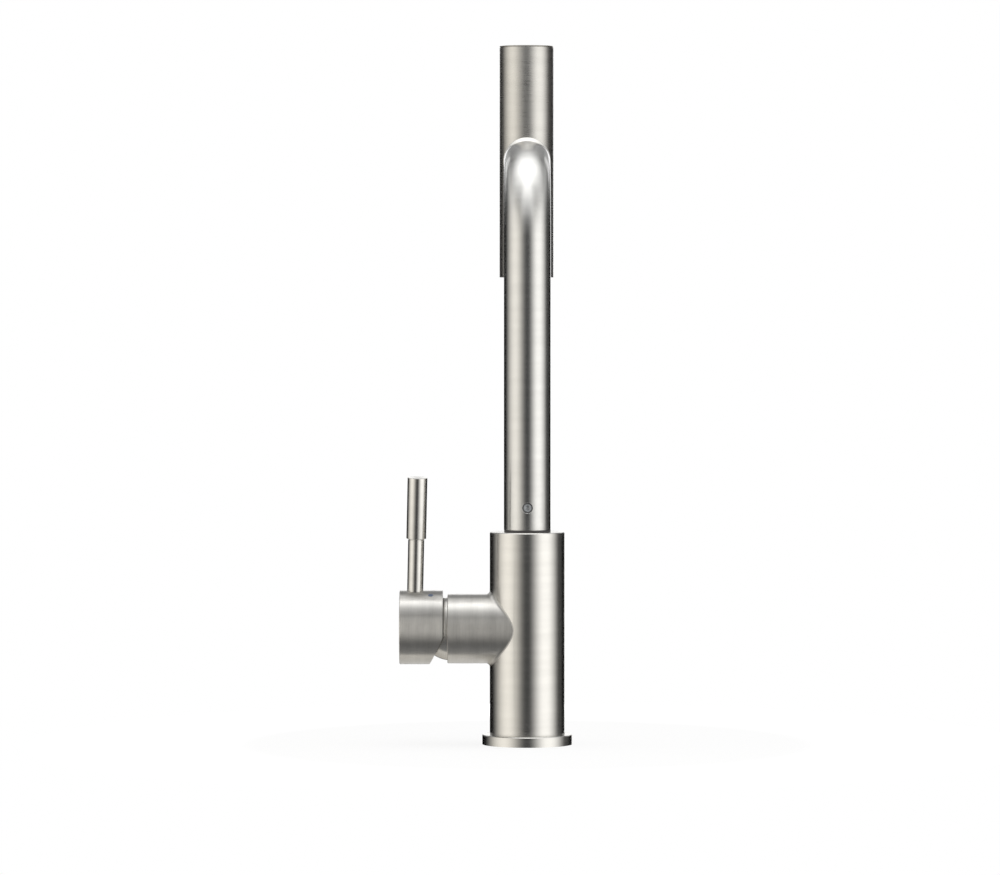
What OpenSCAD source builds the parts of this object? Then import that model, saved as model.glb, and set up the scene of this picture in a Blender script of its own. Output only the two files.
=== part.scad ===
// Gooseneck bar faucet with a side lever and an upright spray head on a docked neck.
// Origin: centre of the flange's underside on the deck. +Z is up, +Y is the way the spout points,
// and the lever stands on the -X side.

/* [Base] */
// Diameter of the base flange
flange_d = 54; // [52:1:64]
// Thickness of the base flange
flange_h = 6; // [5.5:0.5:9]
// Diameter of the passage through the flange
passage_d = 34; // [33.5:0.1:34.6]
// Depth that the body's foot ring goes into the flange
foot_h = 2.5; // [1.5:0.1:2.8]
// Outer diameter of the body's foot ring
foot_d = 40; // [38.5:0.5:42]
// Inner diameter of the deck gasket
gasket_id = 41; // [39:0.5:44]
// Outer diameter of the deck gasket
gasket_od = 49; // [47:0.5:50]
// Thickness of the deck gasket
gasket_h = 1.8; // [1.2:0.1:2.2]

/* [Body] */
// Diameter of the body
body_d = 45; // [44.6:0.2:50]
// Height of the body's top face above the deck
body_top = 127.2; // [124:1:150]
// Thickness of the body's wall
body_wall = 3; // [2.4:0.1:3.3]
// Thickness of the floor inside the body's foot
floor_h = 4; // [3:0.5:8]
// Height of the solid head round the spout's post
body_head_h = 29.2; // [24:1:31]
// Thickness of the ledge that the post stands on
ledge_h = 6; // [3:0.5:10]
// Height of the underside of the drilled block behind the cartridge
block_z = 42; // [36:1:46]
// Distance of the block's inner face from the body's axis
block_face = 1; // [0.6:0.1:2]
// Distance of the mounting stud from the body's axis
stud_x = 12.8; // [12:0.1:13]
// Diameter of the mounting stud's thread
stud_d = 8; // [6:1:8]
// Depth of the mounting stud's thread
stud_depth = 16; // [10:1:18]
// Diameter of the stud's boss
stud_boss_d = 15; // [14:0.5:16]
// Height of the stud's boss above the floor
stud_boss_h = 20; // [19:1:24]

/* [Valve housing] */
// Diameter of the side housing
arm_d = 41.6; // [40.6:0.2:44]
// Height of the housing's axis above the deck
arm_z = 69.2; // [67:0.5:72]
// Distance of the housing's end face from the body's axis
arm_end = 47.8; // [47.4:0.1:48.6]
// Diameter of the cartridge
cartridge_d = 35; // [34.4:0.1:35.4]
// Distance of the cartridge's seat from the body's axis
seat_u = 16; // [15.2:0.1:16.2]
// Diameter of the ports in the seat
port_d = 5.2; // [4:0.2:5.6]
// Sideways distance of the two inlet ports from the housing's axis
port_side = 6.5; // [6.2:0.1:7]
// Distance of the two inlet ports below the housing's axis
port_down = 4; // [3:0.2:5]
// Distance of the mixed water port above the housing's axis
port_up = 6.5; // [6:0.1:7.5]
// Distance of the two inlets behind the body's axis
inlet_x = 9.6; // [9.2:0.1:9.8]
// Sideways distance of the two inlets from the body's axis
inlet_y = 8.4; // [8.2:0.1:8.6]
// Distance of the mixed water outlet from the body's axis
outlet_x = 6.2; // [5.8:0.1:6.4]
// Diameter of the hose threads in the block
hose_thread_d = 8; // [7:0.2:8]
// Depth of the hose threads in the block
hose_thread_h = 12; // [8:1:14]
// Diameter of the drilled passages above the threads
drill_d = 6; // [4.5:0.5:6.4]

/* [Cartridge] */
// Length of the cartridge's casing
casing_len = 23.8; // [23.2:0.1:24.4]
// Wall of the casing
casing_wall = 2.1; // [1.6:0.1:2.2]
// Thickness of the casing's base
casing_base = 2.8; // [2.4:0.1:3]
// Diameter of each port seal
seal_d = 7.5; // [6.9:0.1:8]
// Thickness of each port seal
seal_h = 1.4; // [1:0.1:1.6]
// How far the seals hold the casing off its seat
seal_proud = 0.2; // [0.1:0.05:0.3]
// Diameter of the fixed ceramic disc
fixed_disc_d = 30.4; // [28:0.2:30.6]
// Thickness of the fixed ceramic disc
fixed_disc_h = 3.4; // [3:0.1:3.6]
// Diameter of the sliding ceramic disc
moving_disc_d = 20; // [18:0.5:21]
// Thickness of the sliding ceramic disc
moving_disc_h = 2.5; // [2:0.1:2.7]
// Depth of the mixing pocket in the sliding disc
mix_pocket_h = 1.2; // [0.8:0.1:1.6]
// Diameter of the mixing pocket
mix_pocket_d = 13; // [10:0.5:15]
// Height of the carrier of the sliding disc
carrier_h = 7.1; // [6.4:0.1:7.3]
// Width of the carrier across its flats
carrier_w = 16.6; // [14:0.2:17]
// Diameter of the rotor's barrel
rotor_d = 25; // [24:0.2:25.4]
// Thickness of the rotor's flange
rotor_flange_h = 2.3; // [2:0.1:2.6]
// How far the rotor stands out past the lever's pivot
rotor_over = 5; // [4:0.2:6]
// Length of the retaining nut past the casing
nut_len = 7.3; // [6.5:0.1:7.6]
// Diameter of the retaining nut's thread
nut_d = 36.2; // [35.8:0.1:36.8]
// Diameter of the nut's collar inside the dome
nut_collar_d = 34; // [33:0.2:34.2]
// Length of the nut's collar past the housing's end
nut_collar_h = 1.5; // [1:0.1:1.8]
// Width of the spanner notches in the nut
notch_w = 4; // [3:0.2:5]
// Number of spanner notches
notch_count = 4; // [2:1:6]

/* [Dome] */
// Radius of the dome
dome_r = 19; // [18.6:0.1:19.4]
// Wall of the dome
dome_wall = 1.3; // [1:0.1:1.4]
// Diameter of the opening that the spindle passes
dome_hole_d = 27.8; // [27:0.2:28.6]

/* [Lever] */
// Distance of the lever's pivot from the body's axis
pivot_u = 45.5; // [45.2:0.1:45.8]
// Angle that the lever lifts through
lift = 24; // [16:1:26]
// Angle that the lever leans to the rear at rest
lever_lean = 5; // [-10:1:10]
// Radius of the spindle's ball
ball_r = 6; // [5.6:0.1:6.1]
// Distance from the pivot to the centre of the tail's ball
tail_len = 15.5; // [15.3:0.1:15.9]
// Radius of the ball on the tail
tail_ball_r = 3; // [2.8:0.1:3.2]
// Radius of the tail
tail_r = 2.4; // [2:0.1:2.5]
// Width of the spindle's square bar
bar_w = 7; // [6:0.2:7.4]
// Diameter of the lever's pin
pin_d = 3; // [2.5:0.1:3.6]
// Diameter of the hub
hub_d = 44.3; // [43.8:0.1:47]
// Distance of the hub's inner face from the body's axis
hub_u = 50.6; // [50:0.1:51.4]
// Distance of the hub's outer face from the body's axis
hub_end = 76.5; // [75:0.5:84]
// How far the hub's axis lies above the housing's axis
hub_raise = 0.9; // [0.7:0.1:1]
// Gap between the lifted hub and the housing's end
bevel_gap = 1.3; // [0.8:0.1:1.8]
// Length of the bar inside the hub's socket
socket_len = 8.4; // [6:0.2:9.5]
// Distance of the stem from the body's axis
stem_u = 67.4; // [67.2:0.1:70]
// Angle that the stem leans towards the body
stem_tilt = 1.2; // [0:0.1:2]
// Diameter of the stem
stem_d = 9.3; // [8:0.1:11]
// Length of the stem between the hub and the grip
stem_len = 30.7; // [20:1:50]
// Diameter of the grip
grip_d = 11.8; // [11:0.2:16]
// Length of the grip
grip_len = 36.8; // [25:1:60]
// Diameter of the threaded ends of the stem
stem_thread_d = 6; // [5:0.5:6.5]
// Length of the stem's thread in the grip
grip_thread_len = 12; // [8:1:16]
// Length of the stem's thread in the hub
hub_thread_len = 6; // [4:0.5:7]
// Depth of the stem's seat in the hub
stem_seat = 1; // [0.8:0.1:1.4]
// Diameter of the temperature marks
mark_d = 3; // [2:0.2:4]
// Depth of the temperature marks
mark_h = 0.8; // [0.5:0.1:1.2]
// Distance of the marks from the body's axis
mark_u = 57.8; // [56:0.2:60]
// Angle of each mark from the lever
mark_angle = 22; // [16:1:40]

/* [Grub screws] */
// Diameter of the grub screws
grub_d = 5; // [4:0.5:5.4]
// Width of the sockets across their corners
grub_socket_d = 2.9; // [2:0.1:3.2]
// Depth of the sockets
grub_socket_h = 2; // [1:0.1:2.2]
// Length of the hub's grub screw
hub_grub_len = 6; // [4:0.5:9]
// How deep the spout's grub screw lies in its hole
grub_sunk = 0.5; // [0.2:0.1:0.8]

/* [Spout] */
// Outer diameter of the tube
tube_d = 28.1; // [27.6:0.1:29]
// Wall of the tube
tube_wall = 1.2; // [0.9:0.1:1.5]
// Height of the bend's end axis above the deck
dock_z = 350.4; // [300:5:420]
// Radius of the bend's centre line
bend_r = 47; // [40:1:70]
// Length of the straight end past the bend
end_len = 5; // [4:0.5:12]
// Diameter of the post inside the tube
post_d = 22.4; // [22:0.1:22.7]
// Diameter of the post's thread in the body
post_thread_d = 26; // [24.5:0.5:28]
// Diameter of the passage through the post
post_bore_d = 17.2; // [16:0.2:18]
// Height of the post's top above the body
post_len = 31.8; // [28:0.2:40]
// Thickness of the post's lip
post_lip_h = 1.4; // [1:0.1:2]
// Diameter of the post's lip
post_lip_d = 24.6; // [24:0.1:25]
// Thickness of the swivel ring between body and tube
swivel_ring_h = 2.1; // [1.5:0.1:4]
// Height of the spout's grub screw above the body
grub_up = 14.4; // [13:0.2:16]
// Length of the sleeve that takes the grub screw
sleeve_len = 9; // [7:0.5:10]
// Depth of the groove in the post
groove_h = 1.5; // [1.2:0.1:1.8]
// Diameter of the collar at the dock
collar_d = 29.7; // [29.4:0.1:33]
// Length of the collar
collar_len = 7; // [5:0.5:12]
// Length of the collar's spigot in the tube
collar_spigot_len = 5; // [3:0.2:5]
// Wall of the nylon dock bush
bush_wall = 0.95; // [0.7:0.05:1]

/* [Spray head] */
// Distance of the spray head's axis from the body's axis
reach = 95; // [92:1:130]
// Diameter of the barrel
barrel_d = 33.3; // [33:0.1:38]
// Wall of the barrel
barrel_wall = 1.6; // [1.2:0.1:1.7]
// Length of the barrel with its cap
barrel_len = 142.3; // [120:1:170]
// Share of the barrel that hangs below the neck's axis
below_share = 0.495; // [0.4:0.005:0.6]
// Thickness of the rim of the barrel's cap
cap_h = 1; // [0.6:0.1:3]
// Depth of the cap's plug
cap_plug_h = 4; // [2:0.5:8]
// Diameter of the neck
neck_d = 28; // [26:0.2:28]
// Diameter of the docking stub
stub_d = 21; // [20.6:0.1:21.4]
// Length of the stub inside the dock
stub_len = 19.4; // [16:0.2:20]
// Diameter of the stub's thread in the neck
stub_thread_d = 18; // [17:0.2:19]
// Length of the stub's thread in the neck
stub_thread_len = 12; // [8:0.5:14]
// Diameter of the water passage through the stub
stub_bore_d = 13; // [10:0.5:13.4]
// Diameter of the hose thread in the stub
stub_hose_d = 15; // [14:0.1:15]
// Depth of the hose thread in the stub
stub_hose_h = 10; // [7:0.5:12]
// Thickness of the stub's O-ring
o_ring_d = 1.8; // [1.4:0.1:1.9]
// Distance of the O-ring from the collar's end
o_ring_in = 5; // [3:0.5:7]
// Diameter of the way through the check valve
valve_bore_d = 6.4; // [4:0.4:9]
// Length of the check valve
valve_len = 9; // [6:0.5:11]
// Diameter of the water passages in the barrel
water_d = 12; // [8:0.5:14]
// Height of the waterway above the neck's axis
waterway_top = 14; // [11:0.5:20]
// Length of the aerator's housing
aerator_len = 10.6; // [10:0.2:14]
// Wall of the aerator's housing
aerator_wall = 2.6; // [2:0.1:3]
// Width of the aerator's inner lip
aerator_lip = 1.8; // [1.2:0.1:2]
// Thickness of the aerator's lip
aerator_lip_h = 1.4; // [1:0.1:2]
// Thickness of the aerator's insert
insert_h = 5.2; // [4:0.2:5.6]
// Thickness of the aerator's washer
washer_h = 1.9; // [1.2:0.1:2.4]
// Width of the aerator's washer
washer_w = 2.9; // [2:0.1:3.5]
// How far the aerator lies inside the barrel's mouth
aerator_sunk = 0.4; // [0:0.1:1]
// Diameter of the jets
jet_d = 1.6; // [1:0.1:2]
// Distance between rows of jets
jet_step = 2.9; // [2.6:0.1:4.2]

/* [Clearances] */
// Clearance between pieces fixed to each other
fit_gap = 0.05; // [0.03:0.01:0.08]
// Running clearance of the bushes
run_gap = 0.08; // [0.04:0.01:0.1]
// Clearance between pieces that move past each other
free_gap = 0.3; // [0.25:0.01:0.35]
// Chamfer on the visible edges
edge = 0.4; // [0.2:0.05:0.6]
// Chamfer on the rear edge of the dock collar
collar_edge = 0.8; // [0.3:0.1:1]

/* [Hidden] */
$fn = 96;

// How far a cut runs past the face that it opens
overrun = 1;

// Colours of the materials
brushed = [0.72, 0.71, 0.68];
brass = [0.75, 0.62, 0.36];
steel = [0.60, 0.61, 0.62];
dark_nylon = [0.20, 0.20, 0.20];
grey_plastic = [0.55, 0.56, 0.58];
ceramic = [0.93, 0.92, 0.89];
rubber = [0.08, 0.08, 0.08];
cold_blue = [0.16, 0.24, 0.72];
hot_red = [0.75, 0.10, 0.10];

// Body
cavity_r = body_d / 2 - body_wall;
floor_top = flange_h + floor_h;
body_head_z = body_top - body_head_h;

// Cartridge, measured outwards along the housing's axis
casing_u = seat_u + seal_proud;
casing_end = casing_u + casing_len;
casing_r = cartridge_d / 2;
casing_in_r = casing_r - casing_wall;
fixed_disc_u = casing_u + casing_base + fit_gap;
moving_disc_u = fixed_disc_u + fixed_disc_h + fit_gap;
carrier_u = moving_disc_u + moving_disc_h;
rotor_u = carrier_u + carrier_h + free_gap;
lip_u = rotor_u + rotor_flange_h + free_gap;
rotor_r = rotor_d / 2;
rotor_flange_r = casing_in_r - free_gap;
rotor_end = pivot_u + rotor_over;
nut_u = casing_end + fit_gap;
nut_end = nut_u + nut_len;
nut_bore_r = rotor_r + free_gap;
collar_u = arm_end + nut_collar_h;

// The tail swings as far below the axis at rest as above it when lifted
tail_angle = lift / 2;
tail_drop = tail_len * sin(tail_angle);
pocket_u = pivot_u - tail_len - tail_ball_r - free_gap;
pocket_r = tail_ball_r + free_gap / 2;
slot_half = (pivot_u - rotor_u) * tan(tail_angle) + tail_r / cos(tail_angle) + free_gap;
slot_down = rotor_over * tan(lift) + bar_w / 2 / cos(lift) + 2 * free_gap;

// Lever
hub_r = hub_d / 2;
hub_top = hub_r + hub_raise;
hub_bore_r = dome_r + 2 * free_gap;
dome_hole_angle = asin(dome_hole_d / 2 / dome_r);
hub_floor = pivot_u + dome_r * cos(dome_hole_angle - lift) + 2 * free_gap;
bar_end = hub_floor + socket_len;
bevel_u = arm_end + bevel_gap - pivot_u;

// Spout
tube_r = tube_d / 2;
tube_in_r = tube_r - tube_wall;
tube_z = body_top + swivel_ring_h + 2 * fit_gap;
bend_z = dock_z - bend_r;
post_r = post_d / 2;
post_z = body_head_z + ledge_h + fit_gap;
post_top = body_top + post_len;
grub_z = body_top + grub_up;
grub_r = grub_d / 2;
sleeve_in_r = post_r + 2 * run_gap;
dock_y = bend_r + end_len;
collar_end = dock_y + collar_len;
bush_r = stub_d / 2 + run_gap + bush_wall;

// Spray head
head_z = dock_z - below_share * barrel_len;
barrel_r = barrel_d / 2;
barrel_in_r = barrel_r - barrel_wall;
barrel_top = head_z + barrel_len - cap_h;
neck_y = collar_end + free_gap + fit_gap;
stub_y = collar_end - stub_len;
stub_shoulder = neck_y - fit_gap;
o_ring_y = collar_end - o_ring_in;
o_ring_r = stub_d / 2 + fit_gap - o_ring_d / 2;
aerator_z = head_z + aerator_sunk;
aerator_r = barrel_in_r - fit_gap;
aerator_in_r = aerator_r - aerator_wall;
insert_z = aerator_z + aerator_lip_h + fit_gap;
washer_z = insert_z + insert_h + fit_gap;
jet_field_r = aerator_in_r - aerator_lip - jet_d;

// Frames and shared shapes

// Stands its children on the housing's axis, with +Z pointing outwards and +X up
module on_arm() {
    translate([0, 0, arm_z]) rotate([0, -90, 0]) children();
}

// The same frame, turned with the lever as it leans at rest
module on_lever() {
    on_arm() rotate([0, 0, -lever_lean]) children();
}

// Stands its children on the stem's axis, starting at the top of the hub
module on_stem() {
    on_lever() translate([hub_top, 0, stem_u]) rotate([0, 90 + stem_tilt, 0]) children();
}

// Stands its children on the dock's axis, with +Z pointing along the spout
module on_dock() {
    translate([0, 0, dock_z]) rotate([-90, 0, 0]) children();
}

// Stands its children on the spray head's axis
module on_head() {
    translate([0, reach, 0]) children();
}

// Lies along the sideways axis, centred
module crosswise() {
    rotate([90, 0, 0]) children();
}

module rod(r, from, to) {
    translate([0, 0, from]) cylinder(r = r, h = to - from);
}

module ring(r, in_r, from, to) {
    difference() {
        rod(r, from, to);
        rod(in_r, from - overrun, to + overrun);
    }
}

// A rod with a chamfer round its far end
module edged_rod(r, from, to, chamfer) {
    rotate_extrude()
        polygon([[0, from], [r, from], [r, to - chamfer], [r - chamfer, to], [0, to]]);
}

// A rod with a chamfer round its near end
module nosed_rod(r, from, to, chamfer) {
    rotate_extrude()
        polygon([[0, from], [r - chamfer, from], [r, from + chamfer], [r, to], [0, to]]);
}

module socket_hole(depth) {
    translate([0, 0, -overrun]) cylinder(d = grub_socket_d, h = depth + overrun, $fn = 6);
}

// Base

module base_flange() {
    color(brushed) difference() {
        edged_rod(flange_d / 2, 0, flange_h, edge);
        rod(passage_d / 2, -overrun, flange_h + overrun);
        rod(foot_d / 2 + fit_gap, flange_h - foot_h - fit_gap, flange_h + overrun);
        ring(gasket_od / 2 + fit_gap, gasket_id / 2 - fit_gap, -overrun, gasket_h + fit_gap);
    }
}

module deck_gasket() {
    color(rubber) ring(gasket_od / 2, gasket_id / 2, 0, gasket_h);
}

// Body

module body_cavity() {
    difference() {
        rod(cavity_r, floor_top, body_head_z);
        translate([-body_d, -body_d / 2, block_z]) cube([body_d - block_face, body_d, body_top]);
        translate([stud_x, 0, 0]) rod(stud_boss_d / 2, floor_top, floor_top + stud_boss_h);
    }
}

// One inlet or outlet: a thread at the block's underside, a drilling up and one across to the seat
module water_passage(x, y, seat_y, seat_z) {
    translate([-x, y, 0]) {
        rod(hose_thread_d / 2, block_z - overrun, block_z + hose_thread_h);
        rod(drill_d / 2, block_z, arm_z + seat_z + port_d / 2);
    }
    on_arm() translate([seat_z, seat_y, 0]) rod(port_d / 2, x, seat_u + overrun);
}

module seat_ports() {
    for (side = [-1, 1]) translate([-port_down, side * port_side, 0]) children();
    translate([port_up, 0, 0]) children();
}

module body_shell() {
    color(brushed) difference() {
        union() {
            edged_rod(body_d / 2, flange_h, body_top, edge);
            rod(foot_d / 2, flange_h - foot_h, floor_top);
            on_arm() edged_rod(arm_d / 2, 0, arm_end, edge);
        }
        body_cavity();
        difference() {
            rod(passage_d / 2 + free_gap, 0, floor_top + overrun);
            translate([stud_x, 0, 0]) rod(stud_boss_d / 2, floor_top, floor_top + stud_boss_h);
        }
        translate([stud_x, 0, 0]) rod(stud_d / 2, floor_top - overrun, floor_top + stud_depth);
        rod(post_bore_d / 2 + free_gap, body_head_z - overrun, post_z + overrun);
        rod(post_thread_d / 2 + fit_gap, body_head_z + ledge_h, body_top + overrun);
        on_arm() rod(casing_r + fit_gap, seat_u, arm_end + overrun);
        on_arm() rod(nut_d / 2 + fit_gap, casing_end - overrun, arm_end + overrun);
        for (side = [-1, 1]) water_passage(inlet_x, side * inlet_y, side * port_side, -port_down);
        water_passage(outlet_x, 0, 0, port_up);
    }
}

// Cartridge

module cartridge_casing() {
    color(grey_plastic) on_arm() difference() {
        rod(casing_r, casing_u, casing_end);
        rod(casing_in_r, casing_u + casing_base, lip_u);
        rod(rotor_r + free_gap, lip_u - overrun, casing_end + overrun);
        seat_ports() rod(port_d / 2, casing_u - overrun, casing_u + casing_base + overrun);
        seat_ports() rod(seal_d / 2 + fit_gap, casing_u - overrun, seat_u + seal_h + 2 * fit_gap);
    }
}

module cartridge_seals() {
    color(rubber) on_arm() seat_ports() ring(seal_d / 2, port_d / 2, seat_u + fit_gap, seat_u + seal_h);
}

module fixed_disc() {
    color(ceramic) on_arm() difference() {
        rod(fixed_disc_d / 2, fixed_disc_u, fixed_disc_u + fixed_disc_h);
        seat_ports() rod(port_d / 2, fixed_disc_u - overrun, fixed_disc_u + fixed_disc_h + overrun);
    }
}

module retaining_nut() {
    color(brass) on_arm() difference() {
        union() {
            rod(nut_d / 2, nut_u, nut_end);
            rod(nut_collar_d / 2, nut_u, collar_u);
        }
        rod(nut_bore_r, nut_u - overrun, collar_u + overrun);
        for (turn = [1 : notch_count]) rotate([0, 0, turn * 360 / notch_count])
            translate([0, -notch_w / 2, nut_end]) cube([nut_d, notch_w, nut_d]);
    }
}

module dome_cap() {
    color(brushed) on_arm() difference() {
        intersection() {
            translate([0, 0, pivot_u]) sphere(r = dome_r);
            rod(dome_r + overrun, arm_end + fit_gap, pivot_u + dome_r);
        }
        intersection() {
            translate([0, 0, pivot_u]) sphere(r = dome_r - dome_wall);
            rod(dome_r, collar_u, pivot_u + dome_r);
        }
        rod(nut_collar_d / 2 + fit_gap, arm_end, collar_u + fit_gap);
        rod(dome_hole_d / 2, arm_end, pivot_u + dome_r);
    }
}

module rotor() {
    color(grey_plastic) on_lever() difference() {
        union() {
            rod(rotor_r, rotor_u, rotor_end);
            rod(rotor_flange_r, carrier_u + free_gap, rotor_u + rotor_flange_h);
        }
        // The way of the carrier between the cheeks
        translate([-casing_r, -carrier_w / 2 - free_gap, carrier_u - overrun])
            cube([cartridge_d, carrier_w + 2 * free_gap, carrier_h + overrun + free_gap]);
        // The way of the tail
        translate([-slot_half, -tail_r - free_gap, carrier_u])
            cube([2 * slot_half, 2 * (tail_r + free_gap), pivot_u - carrier_u]);
        // The seat of the ball and the way of the bar
        translate([0, 0, pivot_u]) sphere(r = ball_r + free_gap);
        translate([-slot_down, -ball_r - free_gap, pivot_u])
            cube([slot_down + ball_r + free_gap, 2 * (ball_r + free_gap), rotor_over + overrun]);
        translate([0, 0, pivot_u]) crosswise() rod(pin_d / 2 + fit_gap, -rotor_d, rotor_d);
    }
}

module lever_pin() {
    color(steel) on_lever() translate([0, 0, pivot_u]) crosswise()
        rod(pin_d / 2, free_gap - rotor_r, rotor_r - free_gap);
}

module disc_carrier() {
    color(dark_nylon) on_lever() translate([-tail_drop, 0, 0]) difference() {
        intersection() {
            rod(moving_disc_d / 2, carrier_u, carrier_u + carrier_h);
            translate([-moving_disc_d, -carrier_w / 2, carrier_u])
                cube([2 * moving_disc_d, carrier_w, carrier_h]);
        }
        rod(pocket_r, pocket_u, carrier_u + carrier_h + overrun);
    }
}

module moving_disc() {
    color(ceramic) on_lever() translate([-tail_drop, 0, 0]) difference() {
        rod(moving_disc_d / 2, moving_disc_u, carrier_u);
        rod(mix_pocket_d / 2, moving_disc_u - overrun, moving_disc_u + mix_pocket_h);
    }
}

// Lever

module lever_spindle() {
    color(steel) on_lever() translate([0, 0, pivot_u]) difference() {
        union() {
            sphere(r = ball_r);
            translate([-bar_w / 2, -bar_w / 2, 0]) cube([bar_w, bar_w, bar_end - pivot_u]);
            rotate([0, 180 + tail_angle, 0]) {
                rod(tail_r, 0, tail_len);
                translate([0, 0, tail_len]) sphere(r = tail_ball_r);
            }
        }
        crosswise() rod(pin_d / 2 + fit_gap, -rotor_d, rotor_d);
    }
}

// Stands its children at a mark's place, with +Z pointing out of the hub
module at_mark(side) {
    on_lever() translate([hub_raise, 0, mark_u]) rotate([0, 0, side * mark_angle])
        rotate([0, 90, 0]) children();
}

module temperature_mark(side) {
    at_mark(side) rod(mark_d / 2, hub_r - mark_h, hub_r);
}

module lever_hub() {
    color(brushed) difference() {
        on_lever() difference() {
            translate([hub_raise, 0, 0]) edged_rod(hub_r, hub_u, hub_end, edge);
            rod(hub_bore_r, hub_u - overrun, hub_floor);
            // The bevel stands upright when the lever is lifted
            translate([0, 0, pivot_u]) rotate([0, lift, 0])
                translate([-hub_d, -hub_d, -hub_d]) cube([2 * hub_d, 2 * hub_d, hub_d + bevel_u]);
            translate([-bar_w / 2 - fit_gap, -bar_w / 2 - fit_gap, hub_floor - overrun])
                cube([bar_w + 2 * fit_gap, bar_w + 2 * fit_gap, socket_len + overrun + fit_gap]);
            translate([0, 0, hub_floor + socket_len / 2]) rotate([0, -90, 0])
                rod(grub_r + fit_gap, 0, hub_d);
        }
        on_stem() rod(stem_d / 2 + fit_gap, -stem_seat, hub_r);
        on_stem() rod(stem_thread_d / 2 + fit_gap, -stem_seat - hub_thread_len - fit_gap, 0);
        for (side = [-1, 1]) at_mark(side) rod(mark_d / 2 + fit_gap, hub_r - mark_h - fit_gap, hub_d);
    }
}

module lever_stem() {
    color(brushed) on_stem() union() {
        rod(stem_d / 2, fit_gap - stem_seat, stem_len);
        rod(stem_thread_d / 2, -stem_seat - hub_thread_len, stem_len + grip_thread_len);
    }
}

module lever_grip() {
    color(brushed) on_stem() difference() {
        edged_rod(grip_d / 2, stem_len + fit_gap, stem_len + grip_len, edge);
        rod(stem_thread_d / 2 + fit_gap, stem_len - overrun, stem_len + grip_thread_len + free_gap);
    }
}

module hub_set_screw() {
    color(steel) on_lever() translate([-bar_w / 2 - fit_gap - hub_grub_len, 0, hub_floor + socket_len / 2])
        rotate([0, 90, 0]) difference() {
            rod(grub_r, 0, hub_grub_len);
            socket_hole(grub_socket_h);
        }
}

module cold_mark() {
    color(cold_blue) temperature_mark(-1);
}

module hot_mark() {
    color(hot_red) temperature_mark(1);
}

// Spout

// The tube's path filled to radius r, with its two ends carried on by extra
module tube_path(r, extra) {
    rod(r, tube_z - extra, bend_z);
    translate([0, bend_r, bend_z]) rotate([90, 0, -90])
        rotate_extrude(angle = 90) translate([bend_r, 0]) circle(r = r);
    on_dock() rod(r, bend_r, dock_y + extra);
}

module spout_tube() {
    color(brushed) difference() {
        tube_path(tube_r, 0);
        tube_path(tube_in_r, overrun);
        translate([0, 0, grub_z]) crosswise() rod(grub_r + 2 * free_gap, post_r, tube_d);
    }
}

module spout_post() {
    color(brass) difference() {
        union() {
            rod(post_thread_d / 2, post_z, body_top - free_gap);
            rod(post_r, post_z, post_top);
            rod(post_lip_d / 2, post_top - post_lip_h, post_top);
        }
        rod(post_bore_d / 2, post_z - overrun, post_top + overrun);
        ring(post_d, post_r - groove_h, grub_z - grub_r - free_gap, grub_z + grub_r + free_gap);
    }
}

module swivel_ring() {
    color(dark_nylon) union() {
        ring(tube_r, post_r + fit_gap, body_top + fit_gap, body_top + fit_gap + swivel_ring_h);
        ring(tube_in_r - run_gap, post_r + fit_gap, body_top + fit_gap,
            grub_z - sleeve_len / 2 - free_gap);
    }
}

module upper_bush() {
    color(dark_nylon) ring(tube_in_r - run_gap, post_r + fit_gap,
        grub_z + sleeve_len / 2 + free_gap, post_top - post_lip_h - fit_gap);
}

module screw_sleeve() {
    color(brass) difference() {
        ring(tube_in_r - fit_gap, sleeve_in_r, grub_z - sleeve_len / 2, grub_z + sleeve_len / 2);
        translate([0, 0, grub_z]) crosswise() rod(grub_r + fit_gap, 0, tube_d);
    }
}

module spout_set_screw() {
    color(steel) translate([0, grub_sunk - tube_r, grub_z]) rotate([-90, 0, 0]) difference() {
        rod(grub_r, 0, tube_r - grub_sunk - post_r + groove_h - free_gap);
        socket_hole(grub_socket_h);
    }
}

module dock_collar() {
    color(brushed) on_dock() difference() {
        union() {
            nosed_rod(collar_d / 2, dock_y, collar_end, collar_edge);
            rod(tube_in_r - fit_gap, dock_y - collar_spigot_len, collar_end);
        }
        rod(bush_r + fit_gap, dock_y - collar_spigot_len - overrun, collar_end + overrun);
    }
}

module dock_bush() {
    color(dark_nylon) on_dock()
        ring(bush_r, stub_d / 2 + run_gap, dock_y - collar_spigot_len, collar_end);
}

// Spray head

module head_barrel() {
    color(brushed) difference() {
        union() {
            on_head() rod(barrel_r, head_z, barrel_top);
            on_dock() rod(neck_d / 2, neck_y, reach);
        }
        on_head() rod(barrel_in_r, head_z - overrun, barrel_top + overrun);
        on_dock() rod(stub_thread_d / 2 + fit_gap, neck_y - overrun, reach);
    }
}

module head_top_cap() {
    color(brushed) on_head() union() {
        edged_rod(barrel_r, barrel_top + fit_gap, barrel_top + cap_h, edge);
        rod(barrel_in_r - fit_gap, barrel_top - cap_plug_h, barrel_top + cap_h - edge);
    }
}

module docking_stub() {
    color(brass) on_dock() difference() {
        union() {
            rod(stub_d / 2, stub_y, stub_shoulder);
            rod(stub_thread_d / 2, stub_y, neck_y + stub_thread_len);
        }
        rod(stub_bore_d / 2, stub_y - overrun, neck_y + stub_thread_len + overrun);
        rod(stub_hose_d / 2, stub_y - overrun, stub_y + stub_hose_h);
        ring(stub_d, o_ring_r - o_ring_d / 2 - fit_gap,
            o_ring_y - o_ring_d / 2 - fit_gap, o_ring_y + o_ring_d / 2 + fit_gap);
    }
}

module stub_o_ring() {
    color(rubber) on_dock() translate([0, 0, o_ring_y])
        rotate_extrude() translate([o_ring_r, 0]) circle(d = o_ring_d);
}

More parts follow.
